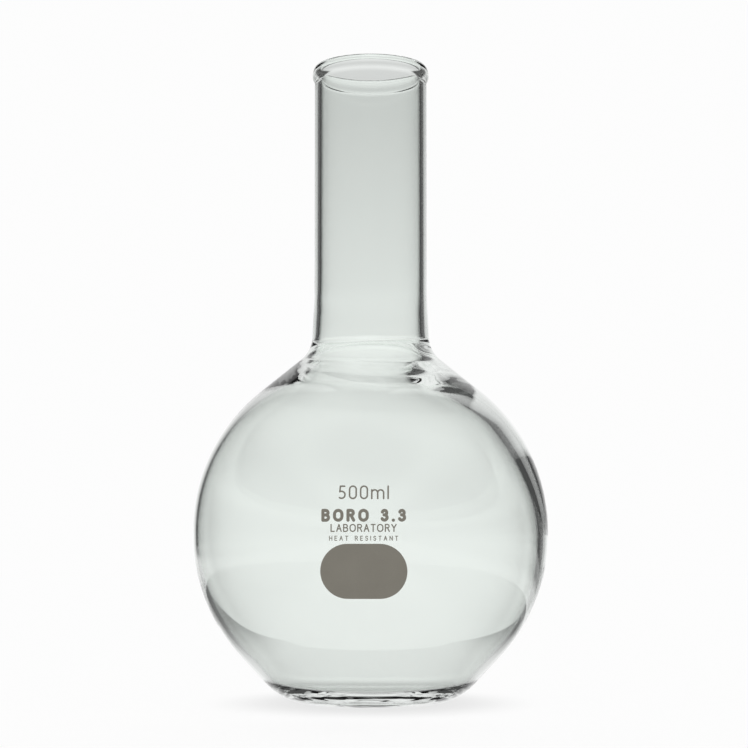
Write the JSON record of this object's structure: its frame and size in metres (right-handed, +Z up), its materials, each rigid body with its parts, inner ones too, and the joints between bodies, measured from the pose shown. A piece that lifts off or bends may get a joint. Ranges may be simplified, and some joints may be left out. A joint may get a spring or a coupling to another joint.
{
  "type": "flat bottom boiling flask",
  "caption": "Flat-bottomed long-neck boiling flask: spherical glass bulb, straight neck with a beaded rim, and fired enamel marks.",
  "frame": {"origin": "middle of the base, in the plane the flask stands on", "axes": "+Z up the axis of the neck; the enamel marks face -Y"},
  "size_m": [0.105, 0.105, 0.19],
  "materials": {
    "glass": "fire-polished, clear with a faint green cast",
    "enamel": "matte fired enamel"
  },
  "bodies": {
    "root": {"glass_vessel": "glass", "capacity_mark": "enamel", "type_mark": "enamel", "use_mark": "enamel", "heat_mark": "enamel", "writing_patch": "enamel"}
  },
  "joints": []
}
